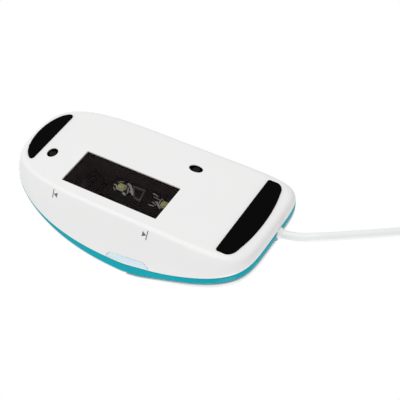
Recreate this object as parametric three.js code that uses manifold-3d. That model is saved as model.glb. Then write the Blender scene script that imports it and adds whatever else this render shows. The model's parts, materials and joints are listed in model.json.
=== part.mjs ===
// Scanner mouse: a corded computer mouse with a document-scanning window in its underside.
// Millimetres. +X is the palm end, -X the cable end, +Y the hand's right, +Z up, and Z = 0 is the desk.
import * as THREE from "three";
import { mergeVertices } from "three/addons/utils/BufferGeometryUtils.js";
import Module from "manifold-3d";

const wasm = await Module();
wasm.setup();

// Body
const HEIGHT = 34;
const FOOT_HEIGHT = 0.6;
const WALL = 2;
const GAP = 0.3;
const FIT = 0.08;
const KEY_GAP = 0.9;
const SEGMENTS = 72;
const FOOT_POCKET = 0.3;
const SCREW_SEAT = 2;
const BAND_WALL = 1.8;
const WAIST = { front: 58.3, rear: 57.7, side: 30.5, frontPower: 5, rearPower: 2.7 };
const SOLE = { front: 57, rear: 54.8, side: 23.9, frontPower: 6.5, rearPower: 3.5 };
const SOLE_RADIUS = 1.3;
const FLARE_POWER = 0.83;
const PEAK = { back: 3, height: 23.2 };
const FALL = { front: 0.368, crest: 10, rear: 16.2 };
const NOSE = { start: 46, reach: 9, lift: 0.4 };
const BAND = { widest: 4.7, middle: 11, nose: 2.8, fade: 10, tail: 0.3, length: 55 };
const HUG = { rear: 0.72, front: 0.45 };
const CROWN = { x: -10, front: 13, frontReach: 67.5, rear: 8.4, rearReach: 47.5 };
const DOME_POWER = 0.9;
const DOME_LIMIT = (0.985 * Math.PI) / 2;
const CEILING = FOOT_HEIGHT + WALL;

// Keys and the line where the palm cover meets them
const SPLIT_X = -7;
const SPLIT_GAP = 0.5;
const KEY_PIN = { x: -9, z: 26.5, radius: 1, reach: 19.5, hole: 20.2 };

// Scroll wheel
const AXLE = 1;
const WHEEL = { x: -31.5, z: 18, radius: 12.5, width: 7, slot: 8.6 };

// Scan window and the optics above it
const WINDOW = { x: 6.7, y: -9.2, length: 44.7, width: 18.9, recess: 0.7, glass: 1.2, rebate: 1.5 };
const HOOD = { x0: -17.5, x1: 31, y0: -20.7, y1: 2.4, top: 22.6, wall: 1.2 };
const CAMERA = { y: -9.2, z: 16 };
const MIRROR = { x: 20, y: -9.2, z: 14.5 };

// Light-emitting diodes: name, place along X, and the ends of the clip round each
const LED_Y = -4.2;
const LEDS = [["rear", 10.4, 5.4, 13.6], ["front", -10.4, -13.6, -3.4]];

// Boards
const BOARD_Z = 7.1;
const BOARD = 1.6;
const BOARD_TOP = BOARD_Z + BOARD;

// Switches under the keys
const SWITCH = { x: -36.5, y: 14.5, length: 12.8, width: 5.8, height: 6.5 };

// Scan button in the left wall: the middle of its stem, which pushes along +Y
const SCAN = { x: -8.2, z: 17.2 };

// Tracking sensors
const TRACKERS = {
  front: { x: -15.2, y: 12.9, holeX: 3.1, holeY: 1.9 },
  rear: { x: 41.4, y: -7.6, holeX: 2.1, holeY: 2.7 },
};

// Screws
const CASE_SCREWS = {
  front_left: [-48.3, -14], front_right: [-48.3, 14], rear_left: [50, -8], rear_right: [50, 8],
};
const BOARD_SCREWS = [[-22, -17.5], [29, 15.5]];

// Cord
const CORD = { diameter: 3.4, exit: [-59.3, 3.5, 7.1], glandRadius: 2.4 };
const COIL = { x: -137.6, y: 20.8, radius: 18.7, columns: 3, rows: 4 };
const PLUG = { x: -159.7, y: -9, z: 4, boot: 8, grip: 16, shell: 18.7 };

const plastic = (color, roughness = 0.35, more = {}) =>
  new THREE.MeshStandardMaterial({ color, roughness, metalness: 0, ...more });
const metal = (color, roughness = 0.3) =>
  new THREE.MeshStandardMaterial({ color, roughness, metalness: 1 });
const PAINT = {
  shell: plastic(0xeeeeee, 0.3),
  key: plastic(0xf1f1f1, 0.25),
  trim: plastic(0x12a7b4, 0.3),
  scan: plastic(0xcfe8f2, 0.2, { transparent: true, opacity: 0.8 }),
  glass: plastic(0x1a1a1e, 0.05, { transparent: true, opacity: 0.35 }),
  lens: plastic(0xcfd6dc, 0.05, { transparent: true, opacity: 0.6 }),
  black: plastic(0x111113, 0.55),
  rubber: plastic(0x0a0a0b, 0.8),
  grey: plastic(0x7e8184, 0.5),
  board: plastic(0x1c5a35, 0.5),
  chip: plastic(0x18181a, 0.5),
  phosphor: plastic(0xd8d25a, 0.4),
  cream: plastic(0xe9e4d6, 0.5),
  cord: plastic(0xf2f2f2, 0.4),
  steel: metal(0xb9bdc2),
  mirror: metal(0xe8eaee, 0.03),
};

const object = new THREE.Group();

function part(name, shape, material, parent = object) {
  const geometry = shape.isBufferGeometry ? shape : geometryOf(shape);
  const mesh = new THREE.Mesh(geometry, material);
  mesh.name = name;
  parent.add(mesh);
  return mesh;
}

function solidOf(geometry) {
  const bare = geometry.clone();
  bare.deleteAttribute("normal");
  bare.deleteAttribute("uv");
  const merged = mergeVertices(bare, 1e-4);
  return new wasm.Manifold(
    new wasm.Mesh({
      numProp: 3,
      vertProperties: new Float32Array(merged.attributes.position.array),
      triVerts: new Uint32Array(merged.index.array),
    }),
  );
}

function geometryOf(solid) {
  const mesh = solid.getMesh();
  const geometry = new THREE.BufferGeometry();
  geometry.setAttribute("position", new THREE.BufferAttribute(mesh.vertProperties, 3));
  geometry.setIndex(new THREE.BufferAttribute(mesh.triVerts, 1));
  geometry.computeVertexNormals();
  return geometry;
}

const join = (first, ...rest) => rest.reduce((sum, next) => sum.add(next), first);
const cut = (first, ...rest) => rest.reduce((left, next) => left.subtract(next), first);

// A box between two corners.
function slab(x0, x1, y0, y1, z0, z1) {
  const box = new THREE.BoxGeometry(x1 - x0, y1 - y0, z1 - z0);
  return box.translate((x0 + x1) / 2, (y0 + y1) / 2, (z0 + z1) / 2);
}
const block = (...corners) => solidOf(slab(...corners));

// A round bar standing on z0, up to z1.
function post(x, y, z0, z1, radius, sides = 20) {
  const standing = new THREE.CylinderGeometry(radius, radius, z1 - z0, sides);
  return standing.rotateX(Math.PI / 2).translate(x, y, (z0 + z1) / 2);
}

// Round bars along X and along Y.
function barX(x0, x1, y, z, radius, sides = 20) {
  const lying = new THREE.CylinderGeometry(radius, radius, x1 - x0, sides);
  return lying.rotateZ(Math.PI / 2).translate((x0 + x1) / 2, y, z);
}
function barY(x, y0, y1, z, radius, sides = 20) {
  const lying = new THREE.CylinderGeometry(radius, radius, y1 - y0, sides);
  return lying.translate(x, (y0 + y1) / 2, z);
}

// A flat plate: an outline in X and Y, standing from z0 to z1.
function plate(shape, z0, z1, curveSegments = 16) {
  const options = { depth: z1 - z0, bevelEnabled: false, curveSegments };
  return new THREE.ExtrudeGeometry(shape, options).translate(0, 0, z0);
}
const polygon = (points) => new THREE.Shape(points.map(([x, y]) => new THREE.Vector2(x, y)));

// A closed surface through rings of points; the ends are capped, or joined to each other.
function loft(rings, ends = "capped") {
  const count = rings[0].length;
  const points = rings.flat();
  const faces = [];
  const last = ends === "joined" ? rings.length : rings.length - 1;
  for (let r = 0; r < last; r += 1) {
    const a = r * count;
    const b = ((r + 1) % rings.length) * count;
    for (let i = 0; i < count; i += 1) {
      const j = (i + 1) % count;
      faces.push([a + i, a + j, b + j], [a + i, b + j, b + i]);
    }
  }
  if (ends === "capped") {
    const caps = [[rings[0], 0, true], [rings.at(-1), last * count, false]];
    for (const [ring, start, reversed] of caps) {
      const centre = points.length;
      points.push([0, 1, 2].map((axis) => ring.reduce((sum, p) => sum + p[axis], 0) / count));
      for (let i = 0; i < count; i += 1) {
        const j = (i + 1) % count;
        const [a, b] = reversed ? [start + j, start + i] : [start + i, start + j];
        faces.push([centre, a, b]);
      }
    }
  }
  const volume = faces.reduce((sum, [a, b, c]) => {
    const [p, q, r] = [a, b, c].map((k) => new THREE.Vector3(...points[k]));
    return sum + p.dot(q.cross(r));
  }, 0);
  const outward = volume < 0 ? faces.map(([a, b, c]) => [a, c, b]) : faces;
  const geometry = new THREE.BufferGeometry();
  geometry.setAttribute("position", new THREE.Float32BufferAttribute(points.flat(), 3));
  geometry.setIndex(outward.flat());
  return solidOf(geometry);
}

// The outer surface ------------------------------------------------------------------------

const TURNS = Array.from({ length: SEGMENTS }, (_, i) => ((i + 0.5) / SEGMENTS) * 2 * Math.PI);
const ringOf = (pointAt) => TURNS.map(pointAt);
const steps = (count) => Array.from({ length: count + 1 }, (_, i) => i / count);

// A superellipse with its own length and power at each end.
function outline(shape, turn, inset = 0) {
  const c = Math.cos(turn);
  const s = Math.sin(turn);
  const power = c < 0 ? shape.frontPower : shape.rearPower;
  const length = (c < 0 ? shape.front : shape.rear) - inset;
  const k = (Math.abs(c) ** power + Math.abs(s) ** power) ** (-1 / power);
  return [c * length * k, s * (shape.side - inset) * k];
}

// Height of the middle of the trim band, which falls from its peak to both ends and levels at the nose.
function waistHeight(x) {
  const ahead = -x - PEAK.back;
  if (ahead < 0) return PEAK.height - FALL.rear * (ahead / (WAIST.rear + PEAK.back)) ** 2;
  const level = NOSE.lift * (Math.max(0, ahead - NOSE.start) / NOSE.reach) ** 2;
  return PEAK.height - FALL.front * (Math.hypot(ahead, FALL.crest) - FALL.crest) + level;
}

// Width of the trim band, widest beside the scan button and a hairline at the palm.
function bandWidth(x) {
  const ahead = -x - BAND.middle;
  if (ahead > 0) {
    return BAND.nose + (BAND.widest - BAND.nose) * Math.exp(-((ahead / BAND.fade) ** 2));
  }
  const share = Math.min(1, -ahead / BAND.length);
  return BAND.tail + (BAND.widest - BAND.tail) * Math.cos((share * Math.PI) / 2);
}

function bandEdge(turn, side) {
  const [x] = outline(WAIST, turn);
  return waistHeight(x) + (side * bandWidth(x)) / 2;
}
const rimHeight = (turn) => bandEdge(turn, -1) - GAP;

// A point of the bottom case's wall, which flares from the sole to the rim.
function wallPoint(turn, z, inset) {
  const rise = (z - FOOT_HEIGHT) / (rimHeight(turn) - FOOT_HEIGHT);
  const flare = Math.sin(Math.min(1, Math.max(0, rise)) * (Math.PI / 2)) ** FLARE_POWER;
  const [x0, y0] = outline(SOLE, turn, inset);
  const [x1, y1] = outline(WAIST, turn, inset);
  return [x0 + (x1 - x0) * flare, y0 + (y1 - y0) * flare, z];
}

// Height of the top surface along the centre line.
function crown(x) {
  const ahead = -x - CROWN.x;
  if (ahead > 0) return HEIGHT - CROWN.front * (ahead / CROWN.frontReach) ** 1.9;
  return HEIGHT - CROWN.rear * (-ahead / CROWN.rearReach) ** 2.2;
}

// A point of the dome: at lift 0 it is on the edge above the trim band, at 90 degrees on the crown.
// It turns in from the edge at once at the palm, and rises more upright at the keys' front.
function domePoint(turn, lift, inset, edgeGap) {
  const edge = bandEdge(turn, 1) + edgeGap;
  const hug = HUG.rear + HUG.front * Math.max(0, -Math.cos(turn)) ** 2;
  const scale = 1 - (1 - Math.cos(lift)) ** hug;
  const [x, y] = outline(WAIST, turn, inset).map((v) => v * scale);
  return [x, y, edge + (crown(x) - inset - edge) * Math.sin(lift) ** DOME_POWER];
}

// Rings up the dome, and the solids between and below them.
function domeRings(edgeGap, inset) {
  const lifts = steps(9).map((u) => u * DOME_LIMIT);
  return lifts.map((lift) => ringOf((turn) => domePoint(turn, lift, inset, edgeGap)));
}
const domeSkin = (edgeGap) => loft([...domeRings(edgeGap, 0).reverse(), ...domeRings(edgeGap, WALL)]);
const domeInside = (edgeGap) => {
  const rings = domeRings(edgeGap, WALL / 2);
  return loft([rings[0].map(([x, y]) => [x, y, 0]), ...rings]);
};

// Bottom case ------------------------------------------------------------------------------

function caseOuterRings() {
  const rounded = steps(3).map((u) => (u * Math.PI) / 2);
  const sole = rounded.map((angle) => {
    const rise = SOLE_RADIUS * (1 - Math.cos(angle));
    const inset = SOLE_RADIUS * (1 - Math.sin(angle));
    return ringOf((turn) => wallPoint(turn, FOOT_HEIGHT + rise, inset));
  });
  const start = FOOT_HEIGHT + SOLE_RADIUS;
  const wall = steps(5).slice(1).map((u) =>
    ringOf((turn) => wallPoint(turn, start + (rimHeight(turn) - start) * u, 0)),
  );
  return [...sole, ...wall];
}

function caseInnerRings() {
  return steps(5).map((u) =>
    ringOf((turn) => wallPoint(turn, CEILING + (rimHeight(turn) - CEILING) * u, WALL)),
  );
}

function ellipse(x, y, rx, ry) {
  return new THREE.Shape().absellipse(x, y, rx, ry, 0, 2 * Math.PI);
}

function windowHole(spread) {
  const { x, y, length, width } = WINDOW;
  return [x - length / 2 - spread, x + length / 2 + spread, y - width / 2 - spread, y + width / 2 + spread];
}

// The front foot has a straight back edge and a bowed front edge; the rear foot is a crescent.
function footOutline(name, inset = 0) {
  const shape = new THREE.Shape();
  if (name === "front_foot") {
    shape.moveTo(-44 - inset, -21.2 + inset);
    shape.lineTo(-44 - inset, 21.2 - inset);
    shape.lineTo(-48, 21.2 - inset);
    shape.quadraticCurveTo(-51.1 + inset, 20.8 - inset, -51.7 + inset, 16);
    shape.quadraticCurveTo(-53.5 + inset, 9, -53.5 + inset, 0);
    shape.quadraticCurveTo(-53.5 + inset, -9, -51.7 + inset, -16);
    shape.quadraticCurveTo(-51.1 + inset, -20.8 + inset, -48, -21.2 + inset);
  } else {
    shape.moveTo(46.4 + inset, -14 + inset);
    shape.quadraticCurveTo(46.6 + inset, -15.2 + inset, 48.1, -14.6 + inset);
    shape.bezierCurveTo(51.6 - inset, -11.8, 53.6 - inset, -6, 53.6 - inset, 0);
    shape.bezierCurveTo(53.6 - inset, 6, 51.6 - inset, 11.8, 48.1, 14.6 - inset);
    shape.quadraticCurveTo(46.6 + inset, 15.2 - inset, 46.4 + inset, 14 - inset);
  }
  shape.closePath();
  return shape;
}

// The scan button's face: wide along the sloping trim band, narrower below it.
function scanOutline(spread) {
  const low = [[-16.2, 14.9], [-0.2, 17.4]];
  const high = [[-18.6, 17.2], [2, 20.2]];
  return [
    [low[0][0] - spread * 0.4, low[0][1] - spread],
    [low[1][0] + spread * 0.4, low[1][1] - spread],
    [high[1][0] + spread, high[1][1] + spread],
    [high[0][0] - spread, high[0][1] + spread],
  ];
}

// A plate standing across Y: an outline in X and Z, from y0 to y1.
function sidePlate(points, y0, y1) {
  const options = { depth: y1 - y0, bevelEnabled: false };
  return new THREE.ExtrudeGeometry(polygon(points), options).rotateX(Math.PI / 2).translate(0, y1, 0);
}

// A turned piece on the Z axis: pairs of radius and height, from the axis back to the axis.
function turned(profile, sides = 20) {
  const points = profile.map(([r, z]) => new THREE.Vector2(r, z));
  return new THREE.LatheGeometry(points, sides).rotateX(Math.PI / 2);
}

// The hole along X round the cord's gland, with the given clearance.
const cordBore = (clearance) =>
  solidOf(barX(-62, -50, CORD.exit[1], CORD.exit[2], CORD.glandRadius + clearance));

function bottomCase() {
  const { recess } = WINDOW;
  const shell = loft([...caseInnerRings(), ...caseOuterRings().reverse()]);
  const boardPosts = BOARD_SCREWS.map(([px, py]) =>
    solidOf(post(px, py, CEILING - 0.5, BOARD_Z, 2.2)),
  );
  const pilots = BOARD_SCREWS.map(([px, py]) =>
    solidOf(post(px, py, CEILING + 0.4, BOARD_Z + 1, 0.95)),
  );
  const opening = block(...windowHole(0), -1, CEILING + 1);
  const rebate = block(...windowHole(WINDOW.rebate), FOOT_HEIGHT + recess, CEILING + 1);
  const pockets = ["front_foot", "rear_foot"].map((name) =>
    solidOf(plate(footOutline(name, -GAP), FOOT_HEIGHT - 1, FOOT_HEIGHT + FOOT_POCKET)),
  );
  const sensorHoles = Object.values(TRACKERS).map((t) =>
    solidOf(plate(ellipse(t.x, t.y, t.holeX, t.holeY), FOOT_HEIGHT - 1, CEILING + 1)),
  );
  const screwHoles = Object.values(CASE_SCREWS).flatMap(([px, py]) => [
    solidOf(post(px, py, -1, SCREW_SEAT, 2.6)),
    solidOf(post(px, py, -1, CEILING + 1, 1.3)),
  ]);
  const scanHole = solidOf(sidePlate(scanOutline(GAP), -34, -24));
  const below = [opening, rebate, ...pockets, ...sensorHoles, ...screwHoles];
  return cut(join(shell, ...boardPosts), ...pilots, ...below, cordBore(GAP), scanHole);
}

// The band round the waist, with two lugs inside its nose that take the front screws.
function trimBand() {
  const ring = (side, inset) =>
    ringOf((turn) => [...outline(WAIST, turn, inset), bandEdge(turn, side)]);
  const band = loft([ring(-1, 0), ring(1, 0), ring(1, BAND_WALL), ring(-1, BAND_WALL)], "joined");
  const front = [CASE_SCREWS.front_left, CASE_SCREWS.front_right];
  const lugs = front.flatMap(([x, y]) => [
    block(-57, x, y - 2.6, y + 2.6, 5.4, 8),
    solidOf(post(x, y, CEILING + GAP, 10.9, 2.6)),
  ]);
  const pilots = front.map(([x, y]) => solidOf(post(x, y, 0, 12, 1)));
  return cut(join(band, ...lugs), ...pilots, cordBore(GAP));
}

// Top: the palm cover carries the key pin in two lugs, and each key hangs on it with two more.
function palmCover() {
  const skin = domeSkin(GAP).intersect(block(SPLIT_X + SPLIT_GAP / 2, 70, -40, 40, 0, 50));
  const lugOutline = [
    [-10.8, 24.8], [-3, 24.8], [-3, 33], [-5.8, 33], [-5.8, 28.4], [-10.8, 28.4],
  ];
  const lugs = [-1, 1].map((side) =>
    solidOf(sidePlate(lugOutline, side * 11.2 - 1.2, side * 11.2 + 1.2)),
  );
  const rear = [CASE_SCREWS.rear_left, CASE_SCREWS.rear_right];
  const posts = rear.map(([x, y]) => solidOf(post(x, y, CEILING + GAP, 24, 2.5)));
  const pilots = rear.map(([x, y]) => solidOf(post(x, y, 0, 14, 1)));
  const pinHole = solidOf(
    barY(KEY_PIN.x, -KEY_PIN.hole, KEY_PIN.hole, KEY_PIN.z, KEY_PIN.radius + FIT),
  );
  const ribs = join(...lugs, ...posts).intersect(domeInside(GAP));
  return cut(join(skin, ribs), ...pilots, pinHole);
}

function key(side) {
  const halves = [SPLIT_GAP / 2, 40].map((y) => y * side).sort((a, b) => a - b);
  const skin = domeSkin(KEY_GAP).intersect(block(-70, SPLIT_X - SPLIT_GAP / 2, ...halves, 0, 50));
  const lugOutline = [[-10.8, 24.8], [-7.4, 24.8], [-7.4, 33], [-10.8, 33]];
  const lugs = [5.4, 16.4].map((y) =>
    solidOf(sidePlate(lugOutline, side * y - 1.2, side * y + 1.2)),
  );
  const rib = block(SWITCH.x - 1, SWITCH.x + 1, side * SWITCH.y - 2, side * SWITCH.y + 2, 16.2, 30);
  const slot = block(WHEEL.x - 13.6, WHEEL.x + 13.6, -WHEEL.slot / 2, WHEEL.slot / 2, 0, 50);
  const pinHole = solidOf(
    barY(KEY_PIN.x, -KEY_PIN.hole, KEY_PIN.hole, KEY_PIN.z, KEY_PIN.radius + FIT),
  );
  const ribs = join(...lugs, rib).intersect(domeInside(KEY_GAP));
  return cut(join(skin, ribs), slot, cordBore(KEY_GAP + GAP), pinHole);
}

// Optics -----------------------------------------------------------------------------------

function hood() {
  const { x0, x1, y0, y1, top, wall } = HOOD;
  const outer = block(x0, x1, y0, y1, CEILING + GAP, top);
  const inside = block(x0 + wall, x1 - wall, y0 + wall, y1 - wall, 0, top - wall);
  const sensorPort = block(x0 - 1, x0 + 2, -12.6, -5.8, 12.6, 19.4);
  return cut(outer, inside, sensorPort);
}

function lensHolder() {
  const flange = block(-16, -14, -13.7, -4.7, 11.5, 20.5);
  const barrel = solidOf(barX(-15, -9.5, CAMERA.y, CAMERA.z, 4.2, 28));
  return cut(join(flange, barrel), solidOf(barX(-17, -8, CAMERA.y, CAMERA.z, 3.4, 28)));
}

function optics() {
  const low = FOOT_HEIGHT + WINDOW.recess;
  const pane = slab(...windowHole(WINDOW.rebate - GAP), low, low + WINDOW.glass);
  part("window_glass", pane, PAINT.glass);
  part("optics_hood", hood(), PAINT.black);
  part("camera_board", slab(-19.2, -17.8, -15.5, -4.2, 10, 22), PAINT.board);
  part("lens_holder", lensHolder(), PAINT.black);
  const lensProfile = [[0, -1], [1.9, -0.4], [1.9, 0.4], [0, 1]];
  const lens = turned(lensProfile, 24).rotateY(Math.PI / 2);
  part("camera_lens", lens.translate(-8.6, CAMERA.y, CAMERA.z), PAINT.lens);
  const mirror = slab(-8.6, 8.6, -8.3, 8.3, -0.75, 0.75).rotateY(Math.PI / 4);
  part("folding_mirror", mirror.translate(MIRROR.x, MIRROR.y, MIRROR.z), PAINT.mirror);
  part("led_board", slab(-15.9, 15.9, -10.2, 0.8, 9.4, 10.4), PAINT.black);
  for (const [name, led, x0, x1] of LEDS) {
    const diode = slab(led - 1.5, led + 1.5, LED_Y - 1.5, LED_Y + 1.5, 8.2, 9.3);
    part(`led_${name}`, diode, PAINT.phosphor);
    const clipOuter = block(x0, x1, LED_Y - 4, LED_Y + 2.6, 7.6, 9.3);
    const clipInner = block(x0 + 0.8, x1 - 0.8, LED_Y - 3.2, LED_Y + 1.8, 7, 10);
    part(`reflector_${name}`, cut(clipOuter, clipInner), PAINT.steel);
  }
  const frame = cut(block(-1.6, 4.4, -7.4, -0.8, 8, 9.3), block(-0.6, 3.4, -6.4, -1.8, 7, 10));
  part("diffuser_frame", frame, PAINT.grey);
}

// Electronics ------------------------------------------------------------------------------

function mainBoard() {
  const edge = [
    [-49.8, -8.5], [-43, -8.5], [-43, -20.5], [-18.8, -20.5], [-18.8, 3.6], [32.2, 3.6],
    [32.2, -16], [41, -14.5], [46.8, -10.5], [46.8, 10.5], [41, 14.5], [33, 18.3], [20, 20.5],
    [-43, 20.5], [-43, 8.5], [-49.8, 8.5],
  ];
  const sheet = solidOf(plate(polygon(edge), BOARD_Z, BOARD_TOP));
  const wheelSlot = block(WHEEL.x - 9.5, WHEEL.x + 9.5, -4.4, 4.4, 0, 20);
  const holes = BOARD_SCREWS.map(([x, y]) => solidOf(post(x, y, 5, 10, 1.2)));
  return cut(sheet, wheelSlot, ...holes);
}

// A screw with its head at z = 0 and its shank pointing up, or down when turned over.
function screw(name, x, y, z, length, up) {
  const profile = [[0, 0], [2, 0], [2, 0.9], [0.8, 1], [0.8, length], [0, length + 0.6]];
  const shape = turned(profile, 16);
  part(name, (up ? shape : shape.rotateX(Math.PI)).translate(x, y, z), PAINT.steel);
}

function keySwitch(name, side) {
  const { x, y, length, width, height } = SWITCH;
  const top = BOARD_TOP + height;
  const middle = side * y;
  const [x0, x1] = [x - length / 2, x + length / 2];
  const body = block(x0, x1, middle - width / 2, middle + width / 2, BOARD_TOP, top);
  const slot = block(x - 1, x + 1, middle - 1.8, middle + 1.8, top - 2.2, top + 1);
  part(`${name}_switch`, cut(body, slot), PAINT.black);
  const plunger = slab(x - 0.6, x + 0.6, middle - 1.4, middle + 1.4, top - 1.4, top + 0.7);
  part(`${name}_plunger`, plunger, PAINT.cream);
}

// A small push switch on z = 0 with its plunger in a well, then put in its place.
function tactSwitch(name, side, height, place) {
  const half = side / 2;
  const well = solidOf(post(0, 0, height - 1.9, height + 1, 1.7));
  const body = cut(block(-half, half, -half, half, 0, height), well);
  part(`${name}_switch`, place(geometryOf(body)), PAINT.chip);
  part(`${name}_plunger`, place(post(0, 0, height - 1.2, height + 0.8, 1.4)), PAINT.cream);
}

function electronics() {
  part("main_board", mainBoard(), PAINT.board);
  for (const [name, t] of Object.entries(TRACKERS)) {
    const sensor = slab(t.x - 4.55, t.x + 4.55, t.y - 4.95, t.y + 4.95, 5, BOARD_Z);
    part(`${name}_tracking_sensor`, sensor, PAINT.chip);
    const base = block(t.x - 4.5, t.x + 4.5, t.y - 5, t.y + 5, CEILING + GAP, 4.7);
    const nose = solidOf(post(t.x, t.y, 1.4, 3.5, 1.5));
    part(`${name}_tracking_lens`, join(base, nose), PAINT.lens);
  }
  part("scan_processor", slab(-1, 12, 6, 19, BOARD_TOP, 9.9), PAINT.chip);
  part("usb_controller", slab(-25.5, -19.5, -13.6, -7.6, BOARD_TOP, 9.7), PAINT.chip);
  part("crystal", slab(-13, -3, 15.6, 19.6, BOARD_TOP, 12), PAINT.steel);
  part("capacitor", post(36.8, -5, BOARD_TOP, 15.2, 2.5), PAINT.chip);
  part("cord_header", slab(-29.2, -21.2, 7, 12.8, BOARD_TOP, 13.3), PAINT.cream);
  BOARD_SCREWS.forEach(([x, y], i) => screw(`board_screw_${i + 1}`, x, y, BOARD_TOP + 1, 4.6, false));
  for (const [name, [x, y]] of Object.entries(CASE_SCREWS)) {
    screw(`case_screw_${name}`, x, y, FOOT_HEIGHT + FOOT_POCKET + 0.1, 10, true);
  }
  keySwitch("left_key", -1);
  keySwitch("right_key", 1);
  tactSwitch("wheel", 6, 3.5, (shape) => shape.translate(-46.5, 0, BOARD_TOP));
  part("scan_board", slab(-20, 4, -22.2, -21, 11.5, 21), PAINT.board);
  tactSwitch("scan", 6, 2.9, (shape) =>
    shape.rotateX(Math.PI / 2).translate(SCAN.x, -22.2, SCAN.z),
  );
}

// Moving pieces ----------------------------------------------------------------------------

function scanButton() {
  const proud = 0.25;
  const wall = loft(steps(6).map((u) =>
    ringOf((turn) => wallPoint(turn, CEILING + (rimHeight(turn) - CEILING) * u, -proud)),
  ));
  const cap = solidOf(sidePlate(scanOutline(0), -34, -27.1)).intersect(wall);
  const flange = solidOf(sidePlate(scanOutline(0.9), -27.4, -26.7));
  const stem = block(SCAN.x - 1.5, SCAN.x + 1.5, -27, -26.2, SCAN.z - 1.5, SCAN.z + 1.5);
  return join(cap, flange, stem);
}

// The tyre is a grooved rubber ring; the wheel's parts are made round the origin, along Y.
function wheel() {
  const group = new THREE.Group();
  group.position.set(WHEEL.x, 0, WHEEL.z);
  object.add(group);
  const grooves = 28;
  const rim = new THREE.Shape();
  for (let i = 0; i < grooves; i += 1) {
    for (const [share, radius] of [[0.1, WHEEL.radius], [0.6, WHEEL.radius], [0.7, 12.1], [1, 12.1]]) {
      const angle = ((i + share) / grooves) * 2 * Math.PI;
      const [x, y] = [radius * Math.cos(angle), radius * Math.sin(angle)];
      if (i === 0 && share === 0.1) rim.moveTo(x, y);
      else rim.lineTo(x, y);
    }
  }
  rim.closePath();
  rim.holes.push(new THREE.Path().absarc(0, 0, 10.3, 0, 2 * Math.PI, true));
  const half = WHEEL.width / 2;
  const options = { depth: WHEEL.width, bevelEnabled: false, curveSegments: 28 };
  const ring = new THREE.ExtrudeGeometry(rim, options);
  part("wheel_tyre", ring.rotateX(Math.PI / 2).translate(0, half, 0), PAINT.rubber, group);
  const disc = cut(solidOf(barY(0, -half, half, 0, 10, 36)), solidOf(barY(0, -9, 9, 0, AXLE + FIT)));
  part("wheel_hub", disc, PAINT.trim, group);
  part("wheel_axle", barY(0, -10.6, 6.9, 0, AXLE, 20), PAINT.steel, group);
}

function wheelCradle() {
  const cheekOutline = [
    [-47.5, 13.5], [-21.5, 13.5], [-21.5, 15.5], [-27, 20.6], [-36, 20.6], [-42, 15.5],
    [-47.5, 15.5],
  ];
  const cheeks = [-1, 1].map((side) =>
    solidOf(sidePlate(cheekOutline, side * 6 - 0.6, side * 6 + 0.6)),
  );
  const bar = block(-47.5, -45.5, -6.5, 6.5, 13.5, 15.5);
  return cut(join(bar, ...cheeks), solidOf(barY(WHEEL.x, -9, 9, WHEEL.z, AXLE + FIT)));
}

function encoder() {
  const body = block(-36.3, -26.7, -11.3, -7.9, BOARD_TOP, 21.6);
  return cut(body, solidOf(barY(WHEEL.x, -13, -6, WHEEL.z, 1.9)));
}

// Cord -------------------------------------------------------------------------------------

// A bar that follows a list of points, with the given number of sides.
function bar(points, radius, sides, count) {
  const path = new THREE.CatmullRomCurve3(points.map((p) => new THREE.Vector3(...p)));
  const section = new THREE.Shape();
  for (let i = 0; i < sides; i += 1) {
    const angle = (i / sides) * 2 * Math.PI;
    const point = [radius * Math.cos(angle), radius * Math.sin(angle)];
    if (i) section.lineTo(...point);
    else section.moveTo(...point);
  }
  section.closePath();
  const options = { steps: count, extrudePath: path, bevelEnabled: false };
  return new THREE.ExtrudeGeometry(section, options);
}

function cord() {
  const radius = CORD.diameter / 2;
  const [exitX, exitY, exitZ] = CORD.exit;
  const gland = join(
    solidOf(barX(-59, -53.2, exitY, exitZ, CORD.glandRadius)),
    solidOf(barX(-55, -53.2, exitY, exitZ, 3.6)),
  );
  part("cable_gland", gland, PAINT.cord);
  const inside = [
    [-52.1, 3.5, 9.1], [-51, 4, 10.2], [-49.3, 5.2, 10.9], [-46.5, 7.4, 10.9], [-42, 9.5, 10.9],
    [-36, 9.8, 10.8], [-29.5, 9.8, 10.9],
  ];
  part("internal_lead", bar(inside, 1.6, 8, 16), PAINT.cord);
  const route = [
    [exitX, exitY, exitZ], [-61, 3.5, 6.8], [-63.1, 3.35, 6.1], [-65.8, 3.15, 5],
    [-68.4, 3.15, 3.9], [-70.8, 3.45, 2.9], [-73, 4.1, 2.2], [-75.1, 5, 1.85], [-79, 7.4, 1.8],
    [-84.3, 11.1, 1.8], [-90.4, 15.2, 1.8], [-100.5, 22.2, 1.8], [-108, 27.4, 1.8],
    [-114.4, 31.8, 1.8],
  ];
  part("cord", bar(route, radius, 8, 40), PAINT.cord);
  const inner = COIL.radius - (COIL.columns * CORD.diameter) / 2;
  const outer = COIL.radius + (COIL.columns * CORD.diameter) / 2;
  const top = COIL.rows * CORD.diameter;
  const section = [[inner, 0.1], [outer, 0.1], [outer, top], [inner, top], [inner, 0.1]];
  part("cord_coil", turned(section, 32).translate(COIL.x, COIL.y, 0), PAINT.cord);
  const tie = cut(
    block(inner - 1.3, outer + 1.3, -2.5, 2.5, 0, top + 1.3),
    block(inner - 0.3, outer + 0.3, -3, 3, -1, top + 0.3),
  );
  const turnedTie = geometryOf(tie).rotateZ(-Math.PI / 2);
  part("cord_tie", turnedTie.translate(COIL.x, COIL.y, 0), PAINT.black);
  const tail = [
    [PLUG.x, 5.4, 8.4], [PLUG.x, 2, 6.8], [PLUG.x, -1.5, 5.3],
    [PLUG.x, -5, 4.3], [PLUG.x, PLUG.y + GAP, PLUG.z],
  ];
  part("cord_tail", bar(tail, radius, 8, 10), PAINT.cord);
}

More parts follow.
